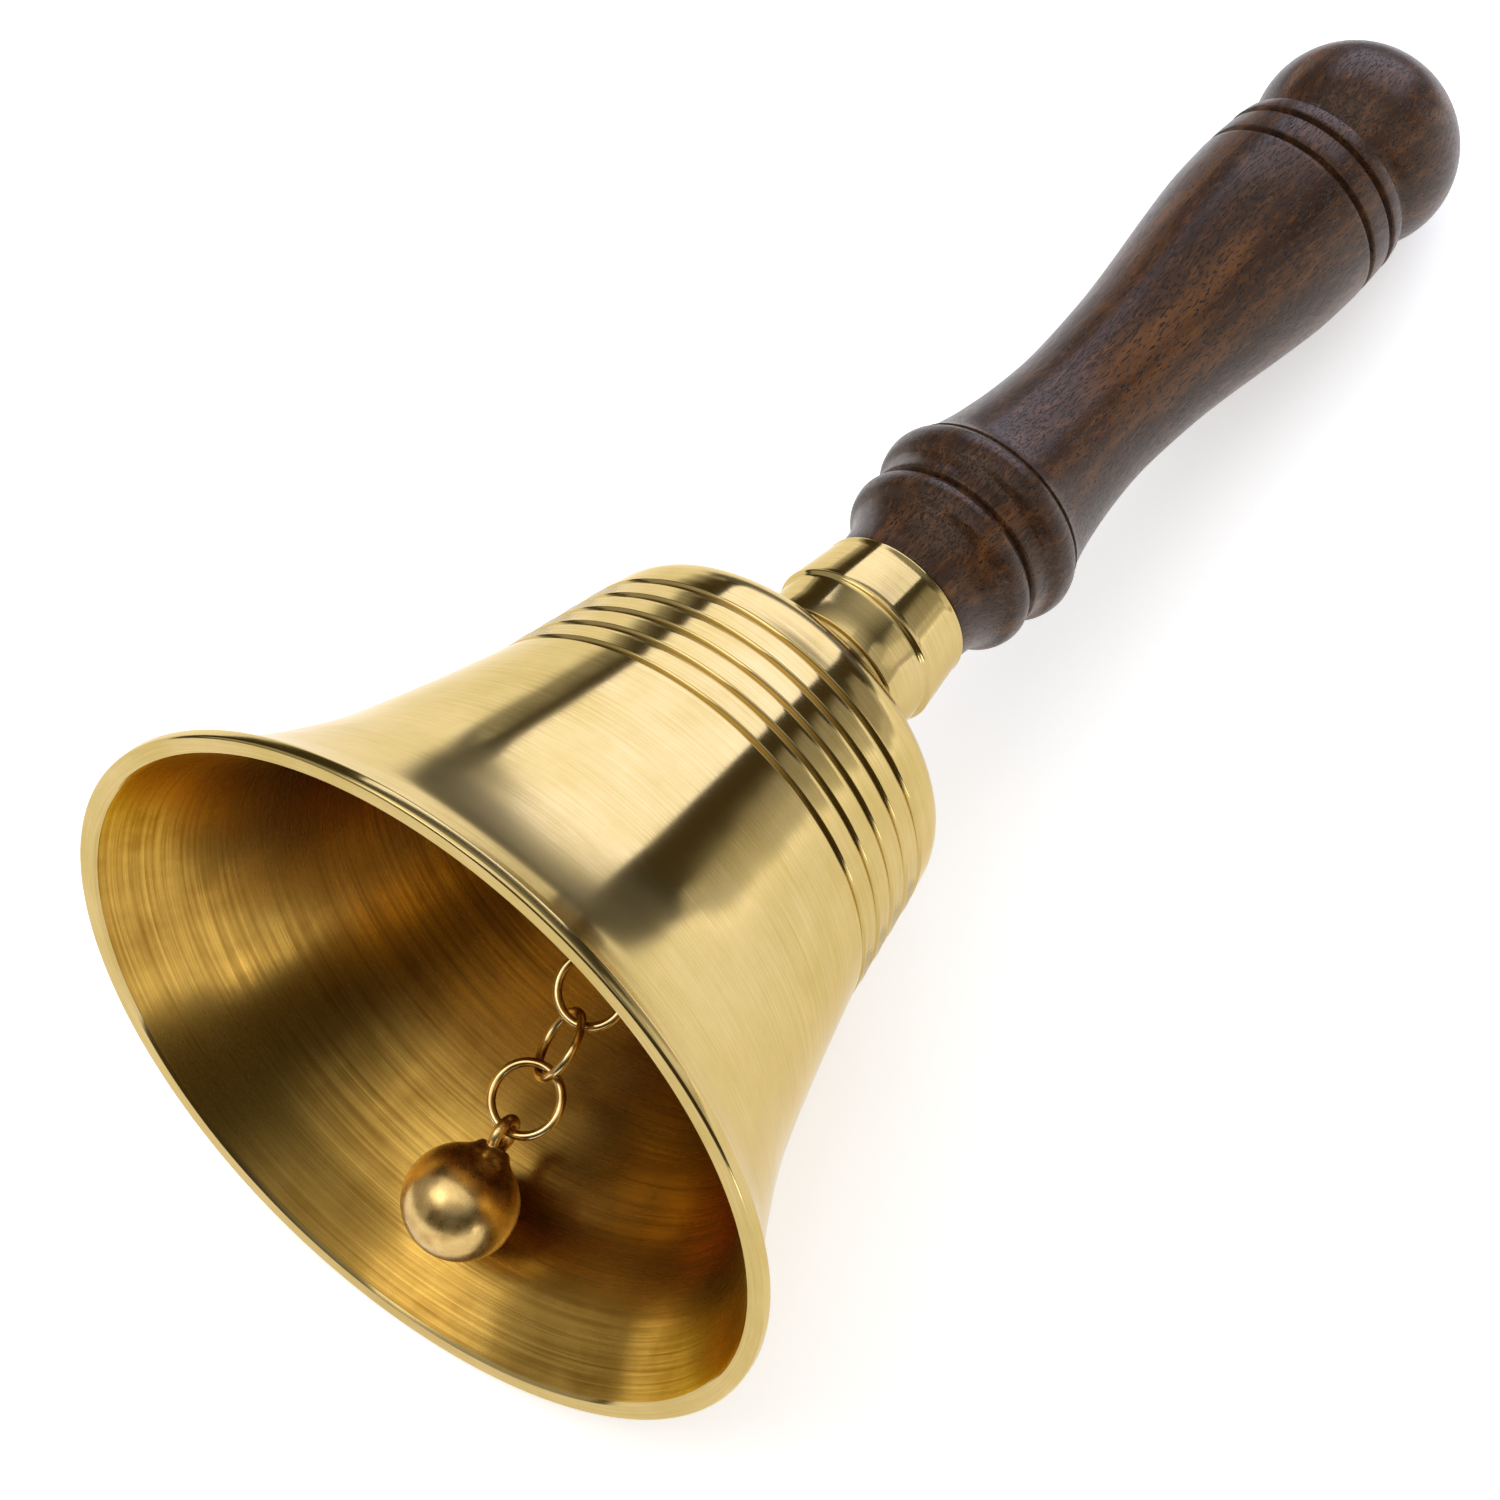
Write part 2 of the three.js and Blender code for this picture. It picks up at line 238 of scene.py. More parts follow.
# %% Lacquered hardwood
PORE_DEPTH = 0.07
RIPPLE_DEPTH = 0.03
GRAIN = {  # how many times a layer changes in each millimetre across and along, detail, roughness, bend
    "figure": ((0.22, 0.22, 0.018), 6.0, 0.62, 0.6),
    "flecks": ((1.1, 1.1, 0.3), 4.0, 0.7, 0.0),
    "pores": ((4.6, 4.6, 0.8), 2.0, 0.5, 0.0),
}


def lacquered_hardwood():
    finish, tree, shader = new_finish("dark_hardwood")
    at = bell_coordinates(tree)
    layers = {}
    for layer, (changes, detail, roughness, bend) in GRAIN.items():
        place = add_node(tree, "ShaderNodeVectorMath", {0: at, 1: changes}, operation="MULTIPLY")
        layers[layer] = add_node(tree, "ShaderNodeTexNoise", {
            "Vector": place.outputs[0], "Scale": 1.0, "Detail": detail, "Roughness": roughness,
            "Distortion": bend}).outputs["Fac"]
    streaks = add_node(tree, "ShaderNodeValToRGB", {"Fac": layers["figure"]})
    ramp = streaks.color_ramp
    ramp.elements[0].position, ramp.elements[0].color = 0.30, linear("#281810")
    ramp.elements[1].position, ramp.elements[1].color = 0.72, linear("#764B28")
    middle = ramp.elements.new(0.52)
    middle.color = linear("#402718")
    fleck_tone = add_node(tree, "ShaderNodeMapRange", {
        "Value": layers["flecks"], "From Min": 0.5, "From Max": 0.75, "To Max": 0.5})
    flecked = add_node(tree, "ShaderNodeMix", {
        "Factor": fleck_tone.outputs[0], 6: streaks.outputs[0], 7: linear("#85572F")}, data_type="RGBA")
    pore_mask = add_node(tree, "ShaderNodeMapRange", {
        "Value": layers["pores"], "From Min": 0.55, "From Max": 0.61, "To Max": 0.85})
    stained = add_node(tree, "ShaderNodeMix", {
        "Factor": pore_mask.outputs[0], 6: flecked.outputs[2], 7: linear("#120A07")}, data_type="RGBA")
    tree.links.new(stained.outputs[2], shader.inputs["Base Color"])
    sunk = add_node(tree, "ShaderNodeBump", {
        "Height": pore_mask.outputs[0], "Strength": 1.0, "Distance": PORE_DEPTH * MM}, invert=True)
    tree.links.new(sunk.outputs[0], shader.inputs["Normal"])
    ripple = add_node(tree, "ShaderNodeBump", {
        "Height": layers["flecks"], "Strength": 1.0, "Distance": RIPPLE_DEPTH * MM,
        "Normal": sunk.outputs[0]})
    tree.links.new(ripple.outputs[0], shader.inputs["Coat Normal"])
    tree.links.new(add_node(tree, "ShaderNodeMapRange", {
        "Value": layers["flecks"], "To Min": 0.42, "To Max": 0.3}).outputs[0],
        shader.inputs["Roughness"])
    shader.inputs["Specular IOR Level"].default_value = 0.25
    shader.inputs["Specular Tint"].default_value = linear("#FFDDB8")
    shader.inputs["Coat Weight"].default_value = 0.3
    shader.inputs["Coat Roughness"].default_value = 0.2
    shader.inputs["Coat IOR"].default_value = 1.5
    return finish


dark_hardwood = lacquered_hardwood()
print("Wood finish:", dark_hardwood.name)

# %% [markdown]
# ## A lathe made of nodes
#
# A lathe holds one outline still while the work goes round. The node tree does the same: it reads the
# outline as a chain of points, lays out a grid with one row for each stop on the way round, and swings
# each row to its angle. Doing it this way, and not with a Screw modifier, lets the same step write the
# "turning" map that the brass needs. Where a row meets the first one again, and where an outline
# reaches the axis, the points fall on each other and are merged, so the skin is closed.

# %% The lathe
WELD = 0.0005  # millimetres, far below the shortest step of an outline


def lathe_tree():
    tree = bpy.data.node_groups.new("lathe", "GeometryNodeTree")
    face = tree.interface
    face.new_socket("Outline", in_out="INPUT", socket_type="NodeSocketGeometry")
    face.new_socket("Sides", in_out="INPUT", socket_type="NodeSocketInt")
    face.new_socket("Finish", in_out="INPUT", socket_type="NodeSocketMaterial")
    face.new_socket("Piece", in_out="OUTPUT", socket_type="NodeSocketGeometry")
    given = add_node(tree, "NodeGroupInput").outputs
    stops = add_node(tree, "ShaderNodeMath", {0: given["Sides"], 1: 1.0}, operation="ADD").outputs[0]
    size = add_node(tree, "GeometryNodeAttributeDomainSize", {0: given["Outline"]}, component="MESH")
    count = size.outputs["Point Count"]
    grid = add_node(tree, "GeometryNodeMeshGrid", {"Vertices X": stops, "Vertices Y": count})
    index = add_node(tree, "GeometryNodeInputIndex").outputs[0]
    row = add_node(tree, "ShaderNodeMath", {0: index, 1: count}, operation="DIVIDE").outputs[0]
    stop = add_node(tree, "ShaderNodeMath", {0: row}, operation="FLOOR").outputs[0]
    step = add_node(tree, "ShaderNodeMath", {0: index, 1: count}, operation="MODULO").outputs[0]
    share = add_node(tree, "ShaderNodeMath", {0: stop, 1: given["Sides"]}, operation="DIVIDE").outputs[0]
    angle = add_node(tree, "ShaderNodeMath", {0: share, 1: math.tau}, operation="MULTIPLY").outputs[0]
    still = add_node(tree, "GeometryNodeSampleIndex", {
        "Geometry": given["Outline"], "Value": add_node(tree, "GeometryNodeInputPosition").outputs[0],
        "Index": step}, data_type="FLOAT_VECTOR")
    run_here = add_node(tree, "GeometryNodeInputNamedAttribute", {"Name": "run"}, data_type="FLOAT")
    run = add_node(tree, "GeometryNodeSampleIndex", {
        "Geometry": given["Outline"], "Value": run_here.outputs[0], "Index": step}, data_type="FLOAT")
    swung = add_node(tree, "ShaderNodeVectorRotate", {
        "Vector": still.outputs[0], "Angle": angle}, rotation_type="Z_AXIS")
    marked = add_node(tree, "GeometryNodeStoreNamedAttribute", {
        "Geometry": grid.outputs["Mesh"], "Name": "around", "Value": share}, data_type="FLOAT")
    marked = add_node(tree, "GeometryNodeStoreNamedAttribute", {
        "Geometry": marked.outputs[0], "Name": "run", "Value": run.outputs[0]}, data_type="FLOAT")
    placed = add_node(tree, "GeometryNodeSetPosition", {
        "Geometry": marked.outputs[0], "Position": swung.outputs[0]})
    around = add_node(tree, "GeometryNodeInputNamedAttribute", {"Name": "around"}, data_type="FLOAT")
    along = add_node(tree, "GeometryNodeInputNamedAttribute", {"Name": "run"}, data_type="FLOAT")
    map_place = add_node(tree, "ShaderNodeCombineXYZ", {0: around.outputs[0], 1: along.outputs[0]})
    mapped = add_node(tree, "GeometryNodeStoreNamedAttribute", {
        "Geometry": placed.outputs[0], "Name": "turning", "Value": map_place.outputs[0]},
        data_type="FLOAT2", domain="CORNER")
    closed = add_node(tree, "GeometryNodeMergeByDistance", {
        "Geometry": mapped.outputs[0], "Distance": WELD})
    smooth = add_node(tree, "GeometryNodeSetShadeSmooth", {"Geometry": closed.outputs[0]})
    real = add_node(tree, "GeometryNodeRealizeInstances", {"Geometry": smooth.outputs[0]})
    coated = add_node(tree, "GeometryNodeSetMaterial", {
        "Geometry": real.outputs[0], "Material": given["Finish"]})
    add_node(tree, "NodeGroupOutput", {"Piece": coated.outputs[0]})
    return tree


LATHE = lathe_tree()
print("The lathe has", len(LATHE.nodes), "nodes")

# %% [markdown]
# The tree runs as a modifier on a mesh that is only the outline. Its result is then kept as a plain
# mesh, moved from the lathe to its place on the table, and its sharp corners are marked so that light
# breaks on them.

# %% Run a tree and keep what it made
def run_tree(name, tree, source, settings, place):
    """What the tree makes of the source mesh, as a plain object placed by the matrix place."""
    bench = bpy.data.objects.new(name + "_bench", source)
    bpy.context.scene.collection.objects.link(bench)
    modifier = bench.modifiers.new("make", "NODES")
    modifier.node_group = tree
    sockets = {item.name: item.identifier for item in tree.interface.items_tree if item.in_out == "INPUT"}
    for key, value in settings.items():
        modifier[sockets[key]] = value
    bpy.context.view_layer.update()
    result = bpy.data.meshes.new_from_object(bench.evaluated_get(bpy.context.evaluated_depsgraph_get()))
    bpy.data.objects.remove(bench)
    result.transform(place)
    return finished(name, result)


def finished(name, mesh, corner=32):
    """An object of the mesh with its faces outwards and its corners sharp where they turn further."""
    given = list(mesh.materials)
    kept = [finish for finish in given if finish]  # a tree can leave an empty place before its finish
    work = bmesh.new()
    work.from_mesh(mesh)
    for one_face in work.faces:
        one_face.material_index = kept.index(given[one_face.material_index])
    mesh.materials.clear()
    for finish in kept:
        mesh.materials.append(finish)
    bmesh.ops.recalc_face_normals(work, faces=work.faces)
    if work.calc_volume(signed=True) < 0:
        bmesh.ops.reverse_faces(work, faces=work.faces)
    for one_face in work.faces:
        one_face.smooth = True
    open_edges = sum(1 for edge in work.edges if len(edge.link_faces) != 2)
    work.to_mesh(mesh)
    work.free()
    mesh.set_sharp_from_angle(angle=math.radians(corner))
    mesh.name = name
    piece = bpy.data.objects.new(name, mesh)
    bpy.context.scene.collection.objects.link(piece)
    print(f"{name}: {len(mesh.polygons)} faces, {open_edges} open edges")
    return piece


def turn(name, outline, sides, finish):
    """A piece turned from (radius, height) points in millimetres."""
    chain = bpy.data.meshes.new(name + "_outline")
    points = [(radius, 0, height) for radius, height in outline]
    chain.from_pydata(points, [(i, i + 1) for i in range(len(points) - 1)], [])
    run = chain.attributes.new("run", "FLOAT", "POINT")
    reached = 0.0
    for i, here in enumerate(points):
        reached += math.dist(here, points[max(i - 1, 0)])
        run.data[i].value = reached
    return run_tree(name, LATHE, chain, {"Sides": sides, "Finish": finish}, bell_place)


# %% [markdown]
# Outlines are drawn with two tools. An arc is a piece of a circle, for beads, fillets and rounded
# edges. A sweep is a smooth curve through a few points, for the flare and the grip. Both give points in
# the order that they are passed.

# %% Drawing tools
def arc(radius, height, size, start, stop, steps=8):
    """Part of a circle about (radius, height), from angle start to stop in degrees."""
    angles = [math.radians(start + (stop - start) * i / steps) for i in range(steps + 1)]
    return [(radius + size * math.cos(a), height + size * math.sin(a)) for a in angles]


def sweep(points, steps=8):
    """A smooth curve through the points, with a number of steps between each two."""
    padded = [points[0], *points, points[-1]]
    curve = []
    for i in range(len(points) - 1):
        before, here, after, beyond = (Vector(p) for p in padded[i:i + 4])
        leave = (after - before) * (0.5 if i else 1.0)
        arrive = (beyond - here) * (0.5 if i < len(points) - 2 else 1.0)
        for k in range(steps):
            t = k / steps
            spot = (here * (2 * t**3 - 3 * t**2 + 1) + leave * (t**3 - 2 * t**2 + t)
                    + after * (3 * t**2 - 2 * t**3) + arrive * (t**3 - t**2))
            curve.append(tuple(spot))
    return curve + [tuple(points[-1])]


# %% [markdown]
# ## The bell
#
# From the mouth up: a narrow flat face with a crisp edge, a low wall with a fine line behind it, a long
# flare, a straight shoulder with five grooves, and a rounded crown with a flat for the neck. Each groove
# is cut with a pointed tool, and polishing has softened its lips and rounded the lands a little, so that
# each catches its own line of light. The inside follows the outside at a wall of about two millimetres.

# %% The bell's outline
RIM = 48.0
RIM_ROUNDING = 0.4
GROOVE_STEP = 3.525
GROOVE_DEPTH = 0.46
GROOVE_HALF = 0.5
LAND_MIDDLE = 1.76
LAND_CROWN = 0.05
GROOVE_HEIGHTS = [45.2 + GROOVE_STEP * i for i in range(5)]
CROWN_TOP = 71.2


def shoulder_radius(height):
    """The straight, slightly tapering shoulder that the grooves are cut in."""
    low, high = (45.2, 27.7), (59.3, 24.95)
    return low[1] + (high[1] - low[1]) * (height - low[0]) / (high[0] - low[0])


def grooved_shoulder():
    points = []
    for number, height in enumerate(GROOVE_HEIGHTS):
        radius = shoulder_radius(height)
        points += sweep([(radius + 0.06, height - GROOVE_HALF - 0.02), (radius + 0.03, height - 0.36),
                         (radius - GROOVE_DEPTH, height)], 3)
        points += sweep([(radius - GROOVE_DEPTH, height), (radius - 0.04, height + 0.34),
                         (radius, height + GROOVE_HALF)], 3)[1:]
        if number < len(GROOVE_HEIGHTS) - 1:
            middle = height + LAND_MIDDLE
            points.append((shoulder_radius(middle) + 0.7 * LAND_CROWN, middle - 0.7))
            points.append((shoulder_radius(middle) + LAND_CROWN, middle + 0.6))
    return points


rim_edge = arc(RIM - RIM_ROUNDING, RIM_ROUNDING, RIM_ROUNDING, -90, 5, 6)
rim_line = [(RIM - 0.08, 1.3), (RIM - 0.2, 1.58), (RIM - 0.42, 1.74), (RIM - 0.75, 1.83)]
flare = sweep([(46.95, 1.98), (45.4, 3.7), (42.7, 7.2), (38.9, 13.8), (35.2, 21.6), (31.5, 32.5),
               (29.3, 39.7), (27.88, 44.6)], 9)
crown = sweep([(24.72, 60.0), (24.5, 61.4), (24.05, 63.3), (22.9, 65.2), (20.6, 67.05), (17.2, 68.85),
               (13.4, 70.4), (11.0, 71.1)], 5)
crown_flat = [(10.6, CROWN_TOP), (2.8, CROWN_TOP)]
vault = sweep([(2.8, 68.5), (9.8, 68.45), (14.2, 67.5), (18.4, 65.5), (20.9, 63.2), (22.2, 60)], 5)
wall = sweep([(22.2, 60), (23.6, 54.1), (26.2, 43.3), (29.85, 30.8), (33.05, 21.6), (36.65, 13.8),
              (39.85, 8.0), (43.05, 3.7), (45.55, 0.35)], 7)[1:]
rim_face_edge = [(45.9, 0.0)]
outside = rim_edge + rim_line + flare + grooved_shoulder() + crown + crown_flat
bell_outline = outside + vault + wall + rim_face_edge
bell_outline.append(bell_outline[0])
bell = turn("bell_body", bell_outline, 176, polished_brass)

# %% [markdown]
# The inside of the bell was bored, not polished: its tool marks are wider, and its brass is painted
# darker and browner than the outside's, as painted shade for the hollow of the bell. It takes a second
# finish, on every face from the bolt hole down to the rim. The "turning" map tells inside from outside,
# because the distance along the outline only grows.

# %% The bored inside
bell.data.materials.append(shaded_bored_brass)
outside_length = sum(math.dist(a, b) for a, b in zip(outside, outside[1:]))
inside = [outside[-1], *vault, *wall]
inside_length = sum(math.dist(a, b) for a, b in zip(inside, inside[1:]))
turning_map = bell.data.uv_layers["turning"].data
for polygon in bell.data.polygons:
    runs = [turning_map[loop].uv[1] for loop in polygon.loop_indices]
    if outside_length + 1 < sum(runs) / len(runs) < outside_length + inside_length:
        polygon.material_index = 1
print("The outline is", round(outside_length, 1), "mm long outside and", round(inside_length, 1), "inside")

# %% [markdown]
# ## The neck
#
# A brass socket stands on the crown: a foot flange, a cove, a straight collar, a small step up and a
# long taper to a rounded top edge. The handle's tenon goes down into it.

# %% The neck
neck_outline = (
    [(2.8, CROWN_TOP + 0.02), (10.9, CROWN_TOP + 0.02)]
    + arc(10.9, CROWN_TOP + 0.32, 0.3, -90, 90, 6)
    + sweep([(10.7, 71.95), (10.2, 72.7), (9.95, 73.6), (10.0, 74.25)], 4)
    + arc(10.2, 74.6, 0.2, -90, 0, 3)
    + [(10.42, 77.0)]
    + sweep([(10.4, 79.7), (10.46, 80.1), (10.75, 80.4)], 4)
    + arc(10.7, 80.65, 0.2, -45, 45, 4)
    + sweep([(10.85, 80.9), (10.45, 84.0), (9.95, 87.6)], 6)
    + arc(9.55, 87.95, 0.45, 0, 90, 5)
    + [(8.0, 88.42), (8.0, 74.0), (2.8, 74.0), (2.8, CROWN_TOP + 0.02)]
)
neck = turn("neck_socket", neck_outline, 128, polished_brass)

# %% [markdown]
# ## The handle
#
# One piece of wood from tenon to ball. Two beads with a band between them keep the hand off the neck,
# the grip narrows to a waist and swells again, two grooves mark its end, and a ball finishes it. The
# lathe tool leaves crisp corners in the grooves and at the band, and the lacquer rounds them by a
# tenth of a millimetre or two.

# %% The handle
BALL = 13.0
BALL_HEIGHT = 184.0


def handle_groove(height, radius):
    """A narrow groove with steep sides and softened lips, cut in at a height."""
    way_in = [(radius, height - 0.75), (radius - 0.06, height - 0.55), (radius - 0.5, height - 0.38)]
    floor = [(radius - 0.8, height - 0.2), (radius - 0.8, height + 0.2)]
    way_out = [(radius - 0.5, height + 0.38), (radius - 0.1, height + 0.55), (radius - 0.02, height + 0.75)]
    return sweep(way_in, 3) + floor + sweep(way_out, 3)


handle_outline = (
    [(0, 128.3), (2.8, 128.3), (2.8, 74.3), (7.2, 74.3), (7.7, 74.8), (7.7, 88.5)]
    + arc(9.15, 88.85, 0.3, -90, 0, 4)
    + sweep([(9.5, 89.4), (9.6, 90.8), (9.85, 92.4), (10.4, 93.9), (11.0, 94.9)], 5)
    + sweep([(11.35, 95.15), (12.0, 95.8), (12.35, 97.1), (12.15, 98.3), (11.6, 98.95)], 5)
    + [(11.2, 99.2), (11.2, 99.4)]
    + sweep([(11.75, 99.6), (11.95, 99.9), (12.0, 101.2), (12.2, 102.1)], 4)
    + sweep([(12.45, 102.35), (13.15, 103.1), (13.45, 104.6), (13.2, 105.9), (12.75, 106.6)], 6)
    + [(12.35, 106.8), (12.35, 106.95)]
    + sweep([(12.6, 107.15), (12.1, 108.2), (11.56, 110.0), (10.8, 113.6), (9.95, 119.6), (9.51, 127.0),
             (9.95, 137.0), (10.7, 144.2), (11.9, 153.0), (12.8, 160.5), (13.05, 166.6),
             (13.05, 167.7)], 7)[:-1]
    + handle_groove(168.45, 13.05)
    + [(12.98, 170.6)]
    + handle_groove(172.96, 12.88)
    + [(12.72, 174.6)]
    + sweep([(12.6, 175.3), (12.42, 175.75), (12.0, 176.0)], 4)
    + sweep([(11.35, 176.1), (11.05, 176.5), (11.2, 177.3)], 4)
    + arc(0, BALL_HEIGHT, BALL, -30.5, 90, 40)[:-1]
    + [(0, BALL_HEIGHT + BALL)]
)
handle = turn("turned_handle", handle_outline, 144, dark_hardwood)

# %% [markdown]
# ## Wire rings
#
# The chain is six rings of round wire, each bent round a rod and closed so that its two ends meet in a
# butt joint. One tree makes such a ring from its sizes: an arc that stops just short of a full turn,
# swept with a round section and capped at its ends. The eye of the bolt and of the clapper are made by
# the same tree.

# %% The ring bender
def ring_tree():
    tree = bpy.data.node_groups.new("ring_bender", "GeometryNodeTree")
    face = tree.interface
    face.new_socket("Blank", in_out="INPUT", socket_type="NodeSocketGeometry")
    face.new_socket("Ring Radius", in_out="INPUT", socket_type="NodeSocketFloat")
    face.new_socket("Wire Radius", in_out="INPUT", socket_type="NodeSocketFloat")
    face.new_socket("Sweep", in_out="INPUT", socket_type="NodeSocketFloat")
    face.new_socket("Finish", in_out="INPUT", socket_type="NodeSocketMaterial")
    face.new_socket("Ring", in_out="OUTPUT", socket_type="NodeSocketGeometry")
    given = add_node(tree, "NodeGroupInput").outputs
    bend = add_node(tree, "GeometryNodeCurveArc", {
        "Resolution": 97, "Radius": given["Ring Radius"], "Sweep Angle": given["Sweep"]}, mode="RADIUS")
    section = add_node(tree, "GeometryNodeCurvePrimitiveCircle", {
        "Resolution": 28, "Radius": given["Wire Radius"]}, mode="RADIUS")
    wire = add_node(tree, "GeometryNodeCurveToMesh", {
        "Curve": bend.outputs[0], "Profile Curve": section.outputs[0], "Fill Caps": True})
    real = add_node(tree, "GeometryNodeRealizeInstances", {"Geometry": wire.outputs[0]})
    coated = add_node(tree, "GeometryNodeSetMaterial", {
        "Geometry": real.outputs[0], "Material": given["Finish"]})
    add_node(tree, "NodeGroupOutput", {"Ring": coated.outputs[0]})
    return tree


RING_BENDER = ring_tree()


def bend_ring(name, ring_radius, wire_radius, sweep_angle, finish, place):
    blank = bpy.data.meshes.new(name + "_blank")
    return run_tree(name, RING_BENDER, blank, {
        "Ring Radius": ring_radius, "Wire Radius": wire_radius,
        "Sweep": math.radians(sweep_angle), "Finish": finish}, place)


# %% [markdown]
# Each ring hangs from a hinge of the frame, and the next hinge is where the next ring hangs from it. So
# the two hinges give the way that the ring points, and the rings lie in turn in the plane of the chain
# and across it. Loose rings twist as the bell is laid down, and one has: the second from the clapper has
# turned about the chain until it shows its opening. The butt joints point every way round.

# %% Hang the chain
LINK_RADIUS = 4.25
LINK_WIRE = 0.55
BUTTED = 359.2  # degrees of wire, which leaves a hair's breadth at the joint
TWISTED_RING, TWIST = "chain_link_2", math.radians(42)
FIRST_JOINT, NEXT_JOINT = 70, 130  # degrees to the first ring's butt joint, and on from ring to ring
hinges = {joint["child"]: joint for joint in frame["joints"]}
hang_order = [f"chain_link_{number}" for number in range(6, 0, -1)] + ["clapper"]


def hung_from(pivot, along, flat):
    """A place whose -Z hangs along a direction, in millimetres, with its XZ plane holding flat."""
    up = -along.normalized()
    side = up.cross(flat).normalized()
    turn_to = Matrix((side.cross(up), side, up)).transposed().to_4x4()
    return Matrix.Translation(pivot) @ turn_to @ Matrix.Scale(MM, 4)


pivots = [Vector(hinges[name]["pos_m"]) for name in hang_order]
links = []
for place_in_chain, name in enumerate(hang_order[:-1]):
    pivot, below = pivots[place_in_chain], pivots[place_in_chain + 1]
    drop = 2 * LINK_RADIUS - (below - pivot).length / MM
    in_plane = place_in_chain % 2 == 0
    hang = hung_from(pivot, below - pivot, across.cross(below - pivot))
    lie = Matrix.Rotation(math.pi / 2, 4, "X") if in_plane else Matrix.Rotation(math.pi / 2, 4, "Y")
    spin = Matrix.Rotation(math.radians(FIRST_JOINT + NEXT_JOINT * place_in_chain), 4, "Z")
    if name == TWISTED_RING:
        hang = hang @ Matrix.Rotation(TWIST, 4, "Z")
    ring_place = hang @ Matrix.Translation((0, 0, drop - LINK_RADIUS)) @ lie @ spin
    ring = bend_ring(name.replace("chain", "wire"), LINK_RADIUS, LINK_WIRE, BUTTED, wire_brass, ring_place)
    links.append((ring, name))
print("One ring hangs", round((pivots[2] - pivots[1]).length / MM, 2), "mm below the last")

# %% [markdown]
# ## The clapper
#
# Ball, flared neck and eye are one casting. The neck is turned as part of the ball's outline, the eye
# is a ring, and the two are melted together on a fine voxel grid, which rounds the corner between them
# the way a casting's fillet does. The clapper leans a little more than the chain, so that its ball
# touches the lowest part of the wall.

# %% The clapper
BALL_RADIUS = 6.85
EYE_RADIUS = 2.0
EYE_WIRE = 0.7
EYE_DROP = LINK_WIRE + EYE_WIRE + 0.15
EYE_TO_BALL = 11.0
NECK_LENGTH = 7.5
MELT_PASSES = 6
last_direction = pivots[-1] - pivots[-2]
lean_more = Matrix.Rotation(math.radians(2.2), 3, "Y")
clapper_hang = hung_from(pivots[-1], lean_more @ last_direction, across.cross(last_direction))
eye_height = EYE_DROP - EYE_RADIUS
ball_height = EYE_DROP - EYE_TO_BALL


def melt(name, pieces, voxel, finish, corner=180):
    """Joins solids into one skin on a voxel grid, and smooths it."""
    bpy.ops.object.select_all(action="DESELECT")
    for piece in pieces:
        piece.select_set(True)
    bpy.context.view_layer.objects.active = pieces[0]
    bpy.ops.object.join()
    joined = pieces[0]
    remesh = joined.modifiers.new("melt", "REMESH")
    remesh.mode = "VOXEL"
    remesh.voxel_size = voxel
    soften = joined.modifiers.new("soften", "SMOOTH")
    soften.iterations = MELT_PASSES
    result = bpy.data.meshes.new_from_object(joined.evaluated_get(bpy.context.evaluated_depsgraph_get()))
    bpy.data.objects.remove(joined)
    result.materials.clear()
    result.materials.append(finish)
    return finished(name, result, corner)


ball_outline = (
    arc(0, ball_height, BALL_RADIUS, -90, 64, 44)
    + sweep([(2.75, ball_height + 6.35), (2.35, ball_height + 6.7), (2.1, ball_height + 7.1),
             (1.7, ball_height + NECK_LENGTH)], 4)
    + [(0, ball_height + NECK_LENGTH)]
)
ball_outline[0] = (0, ball_height - BALL_RADIUS)
ball = turn("clapper_ball", ball_outline, 96, clapper_brass)
ball.data.transform(clapper_hang @ bell_place.inverted())
eye = bend_ring("clapper_eye", EYE_RADIUS, EYE_WIRE, 360, clapper_brass,
                clapper_hang @ Matrix.Translation((0, 0, eye_height)) @ Matrix.Rotation(math.pi / 2, 4, "X"))
clapper = melt("cast_clapper", [ball, eye], 0.11 * MM, clapper_brass)

# %% [markdown]
# ## What holds it together
#
# A bolt with an eye at its lower end runs up through crown and neck into the handle. A washer and a
# hexagon nut clamp the crown to it. They are only seen by looking into the mouth. The bolt and the nut
# are plain zinc-plated steel, and the washer is brass.

# %% The eye bolt
EYE_BOTTOM = 50.5
BOLT_EYE = 3.3
BOLT_EYE_WIRE = 1.0
BOLT, THREAD_ROOT = 2.5, 2.2
THREAD_START, THREAD_END, THREAD_PITCH = 59.6, 67.5, 0.8
bolt_outline = [(0, 56.0), (1.3, 56.0)] + sweep([(1.5, 56.6), (2.1, 57.8), (BOLT, 59.2)], 4)
height = THREAD_START
while height < THREAD_END:
    bolt_outline += [(BOLT, height), (BOLT, height + 0.2),
                     (THREAD_ROOT, height + 0.4), (THREAD_ROOT, height + 0.55)]
    height += THREAD_PITCH
bolt_outline += [(BOLT, 68.4), (BOLT, 127.2), (1.7, 128), (0, 128)]
shank = turn("bolt_shank", bolt_outline, 48, zinc_steel)
eye_place = Matrix.Translation((0, 0, EYE_BOTTOM + BOLT_EYE)) @ Matrix.Rotation(math.pi / 2, 4, "Y")
bolt_eye = bend_ring("bolt_ring", BOLT_EYE, BOLT_EYE_WIRE, 360, zinc_steel, bell_place @ eye_place)
bolt = melt("ringed_bolt", [shank, bolt_eye], 0.18 * MM, zinc_steel)

